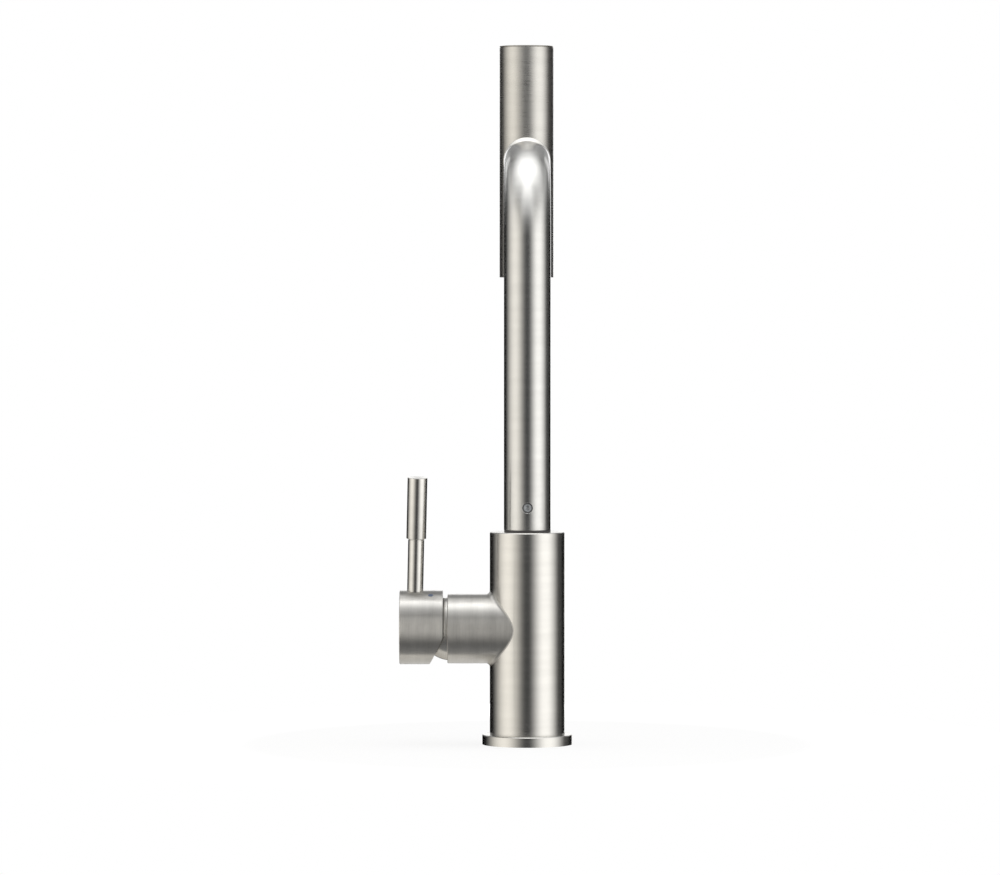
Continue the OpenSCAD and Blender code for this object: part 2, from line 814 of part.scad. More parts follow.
module check_valve() {
    color(grey_plastic) on_dock() ring(stub_bore_d / 2 - fit_gap, valve_bore_d / 2,
        neck_y + stub_thread_len - valve_len, neck_y + stub_thread_len);
}

module waterway() {
    color(grey_plastic) difference() {
        on_head() rod(barrel_in_r - fit_gap, aerator_z + aerator_len + fit_gap, dock_z + waterway_top);
        on_head() rod(water_d / 2, head_z, dock_z + water_d / 2);
        on_dock() rod(water_d / 2, reach - barrel_d, reach);
    }
}

module aerator_housing() {
    color(brushed) on_head() difference() {
        rod(aerator_r, aerator_z, aerator_z + aerator_len);
        rod(aerator_in_r, aerator_z + aerator_lip_h, aerator_z + aerator_len + overrun);
        rod(aerator_in_r - aerator_lip, aerator_z - overrun, aerator_z + aerator_len);
    }
}

// Jets stand in rings, six more in each ring than in the one inside it
module aerator_insert() {
    color(grey_plastic) on_head() difference() {
        rod(aerator_in_r - fit_gap, insert_z, insert_z + insert_h);
        rod(jet_d / 2, insert_z - overrun, insert_z + insert_h + overrun);
        for (row = [1 : floor(jet_field_r / jet_step)])
            for (jet = [1 : 6 * row]) rotate([0, 0, jet * 60 / row]) translate([row * jet_step, 0, 0])
                rod(jet_d / 2, insert_z - overrun, insert_z + insert_h + overrun);
    }
}

module aerator_seal() {
    color(rubber) on_head()
        ring(aerator_in_r - fit_gap, aerator_in_r - washer_w, washer_z, washer_z + washer_h);
}

base_flange();
deck_gasket();
body_shell();
cartridge_casing();
cartridge_seals();
fixed_disc();
retaining_nut();
dome_cap();
spout_post();
swivel_ring();
upper_bush();
rotor();
lever_pin();
disc_carrier();
moving_disc();
lever_spindle();
lever_hub();
lever_stem();
lever_grip();
hub_set_screw();
cold_mark();
hot_mark();
spout_tube();
screw_sleeve();
spout_set_screw();
dock_collar();
dock_bush();
head_barrel();
head_top_cap();
docking_stub();
stub_o_ring();
check_valve();
waterway();
aerator_housing();
aerator_insert();
aerator_seal();
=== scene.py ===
import math

import bmesh
import bpy
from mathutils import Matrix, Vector


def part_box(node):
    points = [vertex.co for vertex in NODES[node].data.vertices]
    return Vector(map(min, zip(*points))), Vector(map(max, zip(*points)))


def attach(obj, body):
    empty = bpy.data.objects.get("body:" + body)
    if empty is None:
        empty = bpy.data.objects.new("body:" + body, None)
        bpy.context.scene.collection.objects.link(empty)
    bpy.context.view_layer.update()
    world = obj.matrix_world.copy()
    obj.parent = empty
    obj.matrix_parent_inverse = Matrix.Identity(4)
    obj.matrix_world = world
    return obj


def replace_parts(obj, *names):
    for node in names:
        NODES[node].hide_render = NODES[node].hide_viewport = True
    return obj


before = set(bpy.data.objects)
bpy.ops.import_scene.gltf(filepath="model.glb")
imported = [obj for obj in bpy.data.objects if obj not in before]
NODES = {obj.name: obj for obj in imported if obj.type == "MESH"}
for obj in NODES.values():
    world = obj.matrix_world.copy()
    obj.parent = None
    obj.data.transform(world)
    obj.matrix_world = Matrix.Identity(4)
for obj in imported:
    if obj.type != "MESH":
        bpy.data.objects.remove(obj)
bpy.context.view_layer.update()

# Lengths are metres, and angles among the constants are degrees. Places come from the frame's boxes.
MM = 0.001


def middle(node):
    """The centre of a node's box."""
    low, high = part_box(node)
    return (low + high) / 2


def half_width(node):
    """Half of a node's width from left to right."""
    low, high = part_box(node)
    return (high.x - low.x) / 2


# Places of the faucet
TUBE_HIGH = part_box("spout_tube")[1]
TUBE_R = half_width("spout_tube")
BODY_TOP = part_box("body_shell")[1].z
RING_SHOWN = 1.3 * MM
RING_GAP = 0.1 * MM
TUBE_FOOT = BODY_TOP + RING_SHOWN + RING_GAP
DOCK_Z = TUBE_HIGH.z - TUBE_R
DOCK_Y = TUBE_HIGH.y
TUBE_WALL = 1.2 * MM
END_LENGTH = 5 * MM
BEND_R = DOCK_Y - END_LENGTH
BEND_Z = DOCK_Z - BEND_R
COLLAR_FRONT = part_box("dock_collar")[1].y
COLLAR_R = half_width("dock_collar")
BUSH_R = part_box("dock_bush")[1].x
SCREW_RAISED = 0.4 * MM
SCREW_Z = middle("spout_set_screw").z + SCREW_RAISED
SCREW_R = half_width("spout_set_screw")
BODY_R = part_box("body_shell")[1].x
ARM_Z = middle("cartridge_casing").z
ARM_R = 20.8 * MM
HEAD_Y = middle("head_top_cap").y

# Directions
UP = Vector((0, 0, 1))
OUT = Vector((-1, 0, 0))
ALONG = Vector((0, 1, 0))
SIDE = Vector((1, 0, 0))


class Graph:
    """Adds nodes to a shader tree. Each call gives the new node's output."""

    def __init__(self, tree):
        self.tree = tree
        tree.nodes.clear()

    def add(self, kind, **settings):
        node = self.tree.nodes.new(kind)
        for name, value in settings.items():
            setattr(node, name, value)
        return node

    def put(self, socket, value):
        if isinstance(value, bpy.types.NodeSocket):
            self.tree.links.new(value, socket)
        elif value is not None:
            socket.default_value = value

    def math(self, operation, *values, clamp=False):
        node = self.add("ShaderNodeMath", operation=operation, use_clamp=clamp)
        for socket, value in zip(node.inputs, values):
            self.put(socket, value)
        return node.outputs[0]

    def vector(self, operation, *values):
        node = self.add("ShaderNodeVectorMath", operation=operation)
        for socket, value in zip(node.inputs, values):
            self.put(socket, value)
        return node.outputs["Value" if operation in ("DOT_PRODUCT", "LENGTH") else "Vector"]

    def scaled(self, vector, scale):
        node = self.add("ShaderNodeVectorMath", operation="SCALE")
        self.put(node.inputs[0], vector)
        self.put(node.inputs["Scale"], scale)
        return node.outputs["Vector"]

    def rise(self, value, low, high, bottom=0.0, top=1.0):
        """A smooth step from bottom to top as value goes from low to high."""
        node = self.add("ShaderNodeMapRange", interpolation_type="SMOOTHSTEP")
        for name, given in (("Value", value), ("From Min", low), ("From Max", high),
                            ("To Min", bottom), ("To Max", top)):
            self.put(node.inputs[name], given)
        return node.outputs["Result"]

    def mix(self, share, a, b):
        node = self.add("ShaderNodeMix", data_type="RGBA")
        self.put(node.inputs["Factor"], share)
        for name, value in (("A", a), ("B", b)):
            sockets = [s for s in node.inputs if s.name == name and s.type == "RGBA"]
            self.put(sockets[0], value)
        return [s for s in node.outputs if s.type == "RGBA"][0]

    def noise(self, vector, scale, detail=2.0, roughness=0.5):
        node = self.add("ShaderNodeTexNoise", noise_dimensions="3D")
        self.put(node.inputs["Vector"], vector)
        self.put(node.inputs["Scale"], scale)
        self.put(node.inputs["Detail"], detail)
        self.put(node.inputs["Roughness"], roughness)
        return node.outputs["Fac"]


def colour(red, green, blue):
    return (red, green, blue, 1.0)


# Studio world: each band of light is given by angles in degrees. Azimuth is zero on the camera's side
# and 180 behind the faucet. Tilt runs from the camera's horizon over the top to the horizon behind.
DEGREES = 180 / math.pi
WHITE = (1, 1, 1)
BACKDROP = 1.0
ROOM = dict(full=124, end=140, level=0.06)
LEFT_PANEL = dict(start=-3, full=-61, fade=-63, end=-132, colour=(1.0, 0.965, 0.90), level=1.32)
RIGHT_PANEL = dict(start=2, full=52, fade=60, end=115, colour=(1.0, 0.99, 0.97), level=1.6)
PANEL_HEIGHT = dict(full=3, end=48)
TOP_PANEL = dict(start=60, full=98, back_start=48, back_full=68, side_start=36, side_full=80, level=0.85)
FRONT_GLOW = dict(start=8, full=34, inner=10, outer=46, level=0.3)
SIDE_GLOW = dict(start=8, full=28, inner_start=45, inner_full=95, outer_full=128, outer_end=142, level=0.5)
FLOOR_LIGHT = dict(start=20, full=90, level=0.2)
FAR_FLOOR = dict(start=91, full=94, low=12, high=30, colour=(1.0, 0.95, 0.86), level=0.5)
FAR_FLOOR_SPAN = 60.0
BACK_START, BACK_FULL = 139, 147
BACK_LOW = dict(start=4, full=40, level=0.7)
BACK_TOP = dict(start=148, end=158, high=26, low=7, soft=5)
BAND = 1.25
CARD = 0.3
CARD_END = (171, 176)
CARD_END_RISE = 14.0
FLAG_TOP = (5, 12)
LEFT_FLAG_END = (160, 168)
LEFT_FLAG_TOP = (0.5, 3)
RIGHT_FLAG_END = (157, 163)


def product(g, *values):
    """All the values multiplied together."""
    result = values[0]
    for value in values[1:]:
        result = g.math("MULTIPLY", result, value)
    return result


def side_panels(g, azimuth, off_level, total):
    """Adds the two soft panels beside the camera."""
    low_band = g.rise(off_level, PANEL_HEIGHT["full"], PANEL_HEIGHT["end"], 1.0, 0.0)
    for panel, side in ((LEFT_PANEL, -1.0), (RIGHT_PANEL, 1.0)):
        turned = g.math("MULTIPLY", azimuth, side)
        inner = g.rise(turned, abs(panel["start"]), abs(panel["full"]))
        outer = g.rise(turned, abs(panel["fade"]), abs(panel["end"]), 1.0, 0.0)
        share = product(g, inner, outer, low_band, panel["level"])
        total = g.vector("ADD", total, g.scaled(panel["colour"], share))
    return total


def upper_glow(g, around, elevation):
    """The weak light above the side panels and above the camera."""
    side = g.math("MULTIPLY",
                  g.rise(elevation, SIDE_GLOW["start"], SIDE_GLOW["full"], 0.0, SIDE_GLOW["level"]),
                  g.rise(around, SIDE_GLOW["inner_start"], SIDE_GLOW["inner_full"]))
    side = g.math("MULTIPLY", side, g.rise(around, SIDE_GLOW["outer_full"], SIDE_GLOW["outer_end"], 1.0, 0.0))
    front = g.math("MULTIPLY",
                   g.rise(elevation, FRONT_GLOW["start"], FRONT_GLOW["full"], 0.0, FRONT_GLOW["level"]),
                   g.rise(around, FRONT_GLOW["inner"], FRONT_GLOW["outer"], 1.0, 0.0))
    return g.math("ADD", side, front)


def backdrop(g, azimuth, around, elevation, down):
    """How much of a direction the backdrop takes, and its brightness with the dark card above it."""
    left_end = g.math("MULTIPLY", g.rise(g.math("MULTIPLY", azimuth, -1.0), *LEFT_FLAG_END),
                      g.rise(elevation, *LEFT_FLAG_TOP))
    past_end = g.math("MAXIMUM", left_end, g.rise(azimuth, *RIGHT_FLAG_END))
    over_flags = g.math("MAXIMUM", g.rise(elevation, *FLAG_TOP), past_end)
    share = g.math("MULTIPLY", g.rise(around, BACK_START, BACK_FULL), over_flags)
    top_edge = g.rise(around, BACK_TOP["start"], BACK_TOP["end"], BACK_TOP["high"], BACK_TOP["low"])
    past_edge = g.math("SUBTRACT", elevation, top_edge)
    past_edge = g.math("SUBTRACT", past_edge, g.rise(around, *CARD_END, 0.0, CARD_END_RISE))
    white = g.math("MULTIPLY", g.rise(past_edge, 0, BACK_TOP["soft"], BAND, CARD),
                   g.rise(down, BACK_LOW["start"], BACK_LOW["full"], 1.0, BACK_LOW["level"]))
    return share, white


def overhead(g, tilt, lean):
    """The panel above and behind the faucet. Lean is the height above the left or right horizon."""
    panel = TOP_PANEL
    front = g.math("MULTIPLY", g.rise(tilt, panel["start"], panel["full"]),
                   g.rise(lean, panel["side_start"], panel["side_full"]))
    back = g.rise(tilt, 180 - panel["back_full"], 180 - panel["back_start"], panel["level"], 0.0)
    return g.math("MAXIMUM", g.math("MULTIPLY", front, back), 0.0)


def studio_world():
    world = bpy.data.worlds.new("studio")
    world.use_nodes = True
    bpy.context.scene.world = world
    g = Graph(world.node_tree)
    direction = g.add("ShaderNodeTexCoord").outputs["Generated"]
    parts = g.add("ShaderNodeSeparateXYZ")
    g.put(parts.inputs[0], direction)
    x, y, z = parts.outputs
    to_camera = g.math("MULTIPLY", y, -1.0)
    azimuth = g.math("MULTIPLY", g.math("ARCTAN2", x, to_camera), DEGREES)
    around = g.math("ABSOLUTE", azimuth)
    elevation = g.math("MULTIPLY", g.math("ARCSINE", z), DEGREES)
    down = g.math("MULTIPLY", elevation, -1.0)
    tilt = g.math("MULTIPLY", g.math("ARCTAN2", z, to_camera), DEGREES)
    lean = g.math("MULTIPLY", g.math("ARCTAN2", z, g.math("ABSOLUTE", x)), DEGREES)

    room = g.rise(around, ROOM["full"], ROOM["end"], ROOM["level"], 0.0)
    floor_light = g.rise(down, FLOOR_LIGHT["start"], FLOOR_LIGHT["full"], 0.0, FLOOR_LIGHT["level"])
    total = g.scaled(WHITE, g.math("ADD", room, floor_light))
    dip = g.math("ARCTAN2", down, g.math("MULTIPLY", y, -FAR_FLOOR_SPAN))
    dip = g.math("MULTIPLY", dip, DEGREES)
    far_floor = g.math("MULTIPLY", g.rise(dip, FAR_FLOOR["start"], FAR_FLOOR["full"]),
                       g.rise(down, FAR_FLOOR["low"], FAR_FLOOR["high"], 0.0, FAR_FLOOR["level"]))
    total = g.vector("ADD", total, g.scaled(FAR_FLOOR["colour"], far_floor))
    total = side_panels(g, azimuth, g.math("ABSOLUTE", elevation), total)
    total = g.vector("ADD", total, g.scaled(WHITE, upper_glow(g, around, elevation)))
    share, white = backdrop(g, azimuth, around, elevation, down)
    total = g.mix(share, total, g.scaled(WHITE, white))
    total = g.vector("ADD", total, g.scaled(WHITE, overhead(g, tilt, lean)))

    path = g.add("ShaderNodeLightPath")
    seen = g.math("MAXIMUM", path.outputs["Is Camera Ray"], path.outputs["Is Transmission Ray"])
    background = g.add("ShaderNodeBackground")
    g.put(background.inputs["Color"], g.mix(seen, total, colour(BACKDROP, BACKDROP, BACKDROP)))
    output = g.add("ShaderNodeOutputWorld")
    g.put(output.inputs["Surface"], background.outputs[0])


# Soft box close above, brightest in the middle: nested areas from the smallest to the largest. Each
# pair is the least and the greatest size in metres.
SOFT_BOX_Z = 0.55
SOFT_BOX_AREAS = 5
SOFT_BOX_LEVEL = 1.42
SOFT_BOX_STEP = 2 * MM
SOFT_BOX_WIDTH = (0.13, 0.6)
SOFT_BOX_FRONT = (0.13, 0.5)
SOFT_BOX_BACK = (0.03, 0.12)


def soft_box():
    sizes = (SOFT_BOX_WIDTH, SOFT_BOX_FRONT, SOFT_BOX_BACK)
    for index in range(SOFT_BOX_AREAS):
        share = index / (SOFT_BOX_AREAS - 1)
        width, front, back = (small * (large / small) ** share for small, large in sizes)
        light = bpy.data.lights.new(f"soft_box_{index}", "AREA")
        light.shape = "RECTANGLE"
        light.size = width
        light.size_y = front + back
        light.energy = SOFT_BOX_LEVEL / SOFT_BOX_AREAS * math.pi * width * (front + back)
        holder = bpy.data.objects.new(light.name, light)
        bpy.context.scene.collection.objects.link(holder)
        holder.location = (0, (back - front) / 2, SOFT_BOX_Z + SOFT_BOX_STEP * index)
        holder.visible_camera = False


# Floor
FLOOR_R = 0.3
FLOOR_SHADE_R = 0.16
FLOOR_POINTS = 96
FLOOR_GLOW_NEAR = 0.84
FLOOR_ALBEDO = 0.2


def floor():
    """A pale round floor that turns white away from the faucet's foot, which only the camera sees glow."""
    bpy.ops.mesh.primitive_circle_add(vertices=FLOOR_POINTS, radius=FLOOR_R, fill_type="NGON")
    disc = bpy.context.object
    disc.name = "floor"
    material = bpy.data.materials.new("pale_floor")
    material.use_nodes = True
    g = Graph(material.node_tree)
    place = g.add("ShaderNodeTexCoord").outputs["Object"]
    far = g.rise(g.vector("LENGTH", place), FLOOR_SHADE_R, FLOOR_R)
    paint = g.add("ShaderNodeBsdfDiffuse")
    paint.inputs["Color"].default_value = colour(FLOOR_ALBEDO, FLOOR_ALBEDO, FLOOR_ALBEDO)
    glow = g.add("ShaderNodeEmission")
    g.put(glow.inputs["Strength"], g.math("ADD", FLOOR_GLOW_NEAR, far))
    seen = g.add("ShaderNodeLightPath").outputs["Is Camera Ray"]
    g.put(glow.inputs["Color"], g.mix(seen, colour(0, 0, 0), colour(1, 1, 1)))
    both = g.add("ShaderNodeAddShader")
    g.put(both.inputs[0], paint.outputs[0])
    g.put(both.inputs[1], glow.outputs[0])
    output = g.add("ShaderNodeOutputMaterial")
    g.put(output.inputs["Surface"], both.outputs[0])
    disc.data.materials.append(material)
    disc.visible_glossy = False


# Camera, level with the bend's foot and aimed a little down, with the photograph's long lens
CAMERA_PLACE = Vector((-16.4 * MM, -3.0, 263.9 * MM))
CAMERA_DROP = 1.531
CLIP_END = 20.0
SENSOR = 36.0
FOCAL_PIXELS = 5015
IMAGE_WIDTH = 1000


def camera():
    data = bpy.data.cameras.new("camera")
    data.sensor_width = SENSOR
    data.lens = SENSOR * FOCAL_PIXELS / IMAGE_WIDTH
    data.clip_end = CLIP_END
    holder = bpy.data.objects.new("camera", data)
    bpy.context.scene.collection.objects.link(holder)
    holder.location = CAMERA_PLACE
    holder.rotation_euler = (math.radians(90 - CAMERA_DROP), 0, 0)
    bpy.context.scene.camera = holder


# Materials

class Finish:
    """A Principled material under construction, with the shader's node and its graph."""

    def __init__(self, name):
        self.material = bpy.data.materials.new(name)
        self.material.use_nodes = True
        self.g = Graph(self.material.node_tree)
        self.shader = self.g.add("ShaderNodeBsdfPrincipled")
        output = self.g.add("ShaderNodeOutputMaterial")
        self.g.put(output.inputs["Surface"], self.shader.outputs[0])

    def set(self, **sockets):
        for name, value in sockets.items():
            self.g.put(self.shader.inputs[name.replace("_", " ")], value)

    def bump(self, height, depth, strength=1.0):
        node = self.g.add("ShaderNodeBump")
        self.g.put(node.inputs["Height"], height)
        self.g.put(node.inputs["Distance"], depth)
        self.g.put(node.inputs["Strength"], strength)
        self.g.put(self.shader.inputs["Normal"], node.outputs[0])


# Brushed metal
METAL = (0.735, 0.722, 0.69)
LINE_SCALE = 1500.0
AROUND_SCALE = 2.4
BRUSH_DEPTH = 0.0015 * MM
BRUSH_ROUGHNESS = 0.23
BRUSH_ANISOTROPY = 0.82
TUBE_FINISH = dict(roughness=0.228, anisotropy=0.9, coat=1.0, tone=(0.685, 0.68, 0.66))
HEAD_FINISH = dict(roughness=0.275, anisotropy=0.75, tone=(0.63, 0.617, 0.585))
COLLAR_FINISH = dict(roughness=0.15, anisotropy=0.4, tone=(0.64, 0.63, 0.6))
STEM_FINISH = dict(roughness=0.22, anisotropy=0.75)
SCREW_FINISH = dict(roughness=0.5, anisotropy=0.0, tone=(0.66, 0.69, 0.72))
# The socket's inside is a darker metal: painted shade in the recess.
SOCKET_SHADE_FINISH = dict(roughness=0.45, anisotropy=0.0, tone=(0.56, 0.58, 0.6))
COARSE_ROUGHNESS = 0.34
COARSE_ANISOTROPY = 0.97
COARSE_LINES = 1.8
COAT_ROUGHNESS = 0.06

# Shade of the brushed lines, made of fine and broad lines, a soft cloud and small smudges
LINE_CONTRAST = 1.5
FINE_SHARE = 0.26
BROAD_SHARE = 0.36
BROAD_SCALE = 0.13
LINES_MIDDLE = 0.31
CLOUD_SCALE = 38.0
CLOUD_SHARE = 0.25
SMUDGE_SCALE = 210.0
SMUDGE = 0.6
LEAST_SMUDGE = 0.1
SHADE_MIDDLE = 0.4
DARKER, LIGHTER = 0.80, 1.10
ROUGHNESS_SPREAD = (-0.03, 0.04)
UNEVEN_RANGE = (0.3, 1.1)
BUMP_STRENGTH = 0.6
BROAD_BUMP = 0.6

# How far outside the body's radius its lines give way to the housing's
HOUSING_BLEND = (0.02 * MM, 0.4 * MM)


def turned_grain(g, centre, axis):
    """Grain that runs round an axis: the texture's coordinates and the direction of the lines."""
    place = g.add("ShaderNodeTexCoord").outputs["Object"]
    offset = g.vector("SUBTRACT", place, tuple(centre))
    along = g.vector("DOT_PRODUCT", offset, tuple(axis))
    radial = g.vector("SUBTRACT", offset, g.scaled(tuple(axis), along))
    radius = g.vector("LENGTH", radial)
    outward = g.vector("NORMALIZE", radial)
    depth = g.math("MULTIPLY", g.math("ADD", along, radius), LINE_SCALE)
    coordinates = g.vector("ADD", g.scaled(outward, AROUND_SCALE), g.scaled(tuple(axis), depth))
    return coordinates, g.vector("CROSS_PRODUCT", tuple(axis), outward)


def stored_grain(g):
    """Grain from the two vectors that a piece's mesh carries."""
    turned = g.add("ShaderNodeAttribute", attribute_name="turned").outputs["Vector"]
    grain = g.add("ShaderNodeAttribute", attribute_name="grain").outputs["Vector"]
    parts = g.add("ShaderNodeSeparateXYZ")
    g.put(parts.inputs[0], turned)
    joined = g.add("ShaderNodeCombineXYZ")
    for index, scale in enumerate((AROUND_SCALE, AROUND_SCALE, LINE_SCALE)):
        g.put(joined.inputs[index], g.math("MULTIPLY", parts.outputs[index], scale))
    return joined.outputs[0], grain


def body_grain(g):
    """The body's grain runs round the upright axis, and round the housing's axis outside the body."""
    place = g.add("ShaderNodeTexCoord").outputs["Object"]
    flat = g.vector("MULTIPLY", place, (1, 1, 0))
    on_housing = g.rise(g.vector("LENGTH", flat), BODY_R + HOUSING_BLEND[0], BODY_R + HOUSING_BLEND[1])
    mixed = []
    for body, housing in zip(turned_grain(g, Vector(), UP), turned_grain(g, ARM_CENTRE, OUT)):
        blend = g.add("ShaderNodeMix", data_type="VECTOR")
        vectors = [socket for socket in blend.inputs if socket.type == "VECTOR"]
        g.put(blend.inputs["Factor"], on_housing)
        g.put(vectors[-2], body)
        g.put(vectors[-1], housing)
        mixed.append([socket for socket in blend.outputs if socket.type == "VECTOR"][0])
    return mixed[0], mixed[1], on_housing


def brushed(name, centre=None, axis=None, roughness=BRUSH_ROUGHNESS, anisotropy=BRUSH_ANISOTROPY,
            tone=METAL, lines=1.0, body=False, coat=0.0):
    """Brushed metal whose lines run round an axis, or as the mesh says."""
    finish = Finish(name)
    g = finish.g
    coarse = 0.0
    if body:
        coordinates, grain, coarse = body_grain(g)
    elif axis is None:
        coordinates, grain = stored_grain(g)
    else:
        coordinates, grain = turned_grain(g, centre, axis)
    fine = g.noise(coordinates, 1.0, detail=3.0, roughness=0.65)
    broad = g.noise(coordinates, BROAD_SCALE)
    place = g.add("ShaderNodeTexCoord").outputs["Object"]
    cloud = g.noise(place, CLOUD_SCALE)
    contrast = g.math("ADD", lines, g.math("MULTIPLY", coarse, COARSE_LINES - 1))
    shade = line_shade(g, place, fine, broad, cloud, contrast)
    darker = tuple(c * DARKER for c in tone)
    lighter = tuple(min(1.0, c * LIGHTER) for c in tone)
    uneven = g.rise(g.math("ADD", fine, g.math("MULTIPLY", cloud, 0.5)), *UNEVEN_RANGE,
                    roughness + ROUGHNESS_SPREAD[0], roughness + ROUGHNESS_SPREAD[1])
    added = g.math("MULTIPLY", coarse, COARSE_ROUGHNESS - BRUSH_ROUGHNESS)
    finish.set(Base_Color=g.mix(shade, colour(*darker), colour(*lighter)), Metallic=1.0,
               Roughness=g.math("ADD", added, uneven),
               Anisotropic=anisotropy, Anisotropic_Rotation=0.25,
               Coat_Weight=coat, Coat_Roughness=COAT_ROUGHNESS)
    turn = g.add("ShaderNodeVectorTransform", vector_type="VECTOR", convert_from="OBJECT",
                 convert_to="WORLD")
    g.put(turn.inputs[0], grain)
    g.put(finish.shader.inputs["Tangent"], turn.outputs[0])
    height = g.math("ADD", fine, g.math("MULTIPLY", broad, BROAD_BUMP))
    finish.bump(height, BRUSH_DEPTH * lines, BUMP_STRENGTH)
    return finish.material


def line_shade(g, place, fine, broad, cloud, contrast):
    """How light the metal is, from 0 to 1, by its lines, its cloud and, on the coarse pieces, smudges."""
    shade = g.math("ADD", g.math("MULTIPLY", fine, FINE_SHARE), g.math("MULTIPLY", broad, BROAD_SHARE))
    shade = g.math("MULTIPLY", g.math("SUBTRACT", shade, LINES_MIDDLE),
                   g.math("MULTIPLY", contrast, LINE_CONTRAST))
    smudge = g.math("SUBTRACT", g.noise(place, SMUDGE_SCALE, detail=3.0), 0.5)
    smudge = g.math("MULTIPLY", g.math("MULTIPLY", smudge, SMUDGE),
                    g.math("MAXIMUM", g.math("SUBTRACT", contrast, 1.0), LEAST_SMUDGE))
    cloudy = g.math("MULTIPLY", g.math("SUBTRACT", cloud, 0.5), CLOUD_SHARE)
    shade = g.math("ADD", g.math("ADD", shade, smudge), cloudy)
    return g.math("ADD", shade, SHADE_MIDDLE, clamp=True)


# Moulded pieces and enamel marks
MOULD_GRAIN_SCALE = 2400.0
MOULD_CLOUD_SCALE = 90.0
MOULD_DEPTH = 0.01 * MM
MOULD_ROUGHNESS_SPREAD = 0.05
ENAMEL_CLOUD_SCALE = 700.0
ENAMEL_DEPTH = 0.02 * MM


def moulded(name, tone, roughness, speckle=0.12):
    """Moulded plastic or rubber with a fine grain."""
    finish = Finish(name)
    g = finish.g
    place = g.add("ShaderNodeTexCoord").outputs["Object"]
    grain = g.noise(place, MOULD_GRAIN_SCALE)
    cloud = g.noise(place, MOULD_CLOUD_SCALE, detail=3.0)
    mixed = g.math("ADD", g.math("MULTIPLY", grain, 0.5), g.math("MULTIPLY", cloud, 0.5))
    darker = tuple(c * (1 - speckle) for c in tone)
    lighter = tuple(min(1.0, c * (1 + speckle)) for c in tone)
    finish.set(Base_Color=g.mix(mixed, colour(*darker), colour(*lighter)),
               Roughness=g.rise(cloud, 0.2, 0.8, roughness - MOULD_ROUGHNESS_SPREAD,
                                roughness + MOULD_ROUGHNESS_SPREAD))
    finish.bump(grain, MOULD_DEPTH, 0.5)
    return finish.material


def enamel(name, tone):
    """A small filled mark of glossy enamel."""
    finish = Finish(name)
    g = finish.g
    place = g.add("ShaderNodeTexCoord").outputs["Object"]
    cloud = g.noise(place, ENAMEL_CLOUD_SCALE)
    darker = tuple(c * 0.85 for c in tone)
    finish.set(Base_Color=g.mix(cloud, colour(*darker), colour(*tone)), Roughness=0.28,
               Coat_Weight=0.6, Coat_Roughness=0.12)
    finish.bump(cloud, ENAMEL_DEPTH, 0.4)
    return finish.material


def dress(material, *names):
    """Gives nodes of the frame their material."""
    for name in names:
        node = NODES[name]
        node.data.materials.clear()
        node.data.materials.append(material)


# A point on each axis that lines run round. The drawn grip lies a little right of its node's middle.
ARM_CENTRE = Vector((0, 0, ARM_Z))
HEAD_CENTRE = Vector((0, HEAD_Y, 0))
DOCK_CENTRE = Vector((0, 0, DOCK_Z))
SCREW_CENTRE = Vector((0, 0, SCREW_Z))
STEM_AXIS = (middle("lever_grip") - middle("lever_stem")).normalized()
GRIP_SHIFT = 0.35 * MM
GRIP_CENTRE = middle("lever_grip") + SIDE * GRIP_SHIFT


def cad_materials():
    turned_steel = dict(roughness=0.42, anisotropy=0.6, tone=(0.60, 0.605, 0.61))
    turned_brass = dict(roughness=0.34, anisotropy=0.6, tone=(0.78, 0.60, 0.30))
    coarse = dict(roughness=COARSE_ROUGHNESS, anisotropy=COARSE_ANISOTROPY, lines=COARSE_LINES)
    dress(brushed("brushed_flange", Vector(), UP), "base_flange")
    dress(brushed("brushed_body", body=True), "body_shell")
    dress(brushed("brushed_head", HEAD_CENTRE, UP, **HEAD_FINISH), "head_barrel", "aerator_housing")
    dress(brushed("brushed_hub", ARM_CENTRE, OUT, **coarse), "lever_hub")
    dress(brushed("brushed_dome", ARM_CENTRE, OUT, roughness=0.22, anisotropy=0.5), "dome_cap")
    dress(brushed("spindle_steel", ARM_CENTRE, OUT, **turned_steel), "lever_spindle", "lever_pin")
    dress(brushed("screw_steel", SCREW_CENTRE, ALONG, **turned_steel), "hub_set_screw")
    dress(brushed("post_brass", Vector(), UP, **turned_brass), "spout_post", "screw_sleeve")
    dress(brushed("stub_brass", DOCK_CENTRE, ALONG, **turned_brass), "docking_stub")
    dress(brushed("nut_brass", ARM_CENTRE, OUT, **turned_brass), "retaining_nut")
    dress(moulded("dark_nylon", (0.035, 0.035, 0.037), 0.42), "upper_bush", "disc_carrier", "dock_bush")
    dress(moulded("grey_plastic", (0.30, 0.31, 0.33), 0.45), "cartridge_casing", "rotor",
          "check_valve", "waterway", "aerator_insert")
    dress(moulded("ceramic", (0.86, 0.85, 0.81), 0.15, speckle=0.03), "fixed_disc", "moving_disc")
    dress(moulded("rubber", (0.022, 0.022, 0.023), 0.62), "deck_gasket", "cartridge_seals",
          "stub_o_ring", "aerator_seal")
    dress(enamel("blue_enamel", (0.075, 0.125, 0.24)), "cold_mark")
    dress(enamel("red_enamel", (0.55, 0.015, 0.015)), "hot_mark")


# Meshes. A solid turned piece has a tiny hole along its axis, of radius AXIS_R.
WELD = 0.0005 * MM
AXIS_R = 0.01 * MM
AROUND = 128
ROUND_STEPS = 5
CORNER_SHARE = 0.45


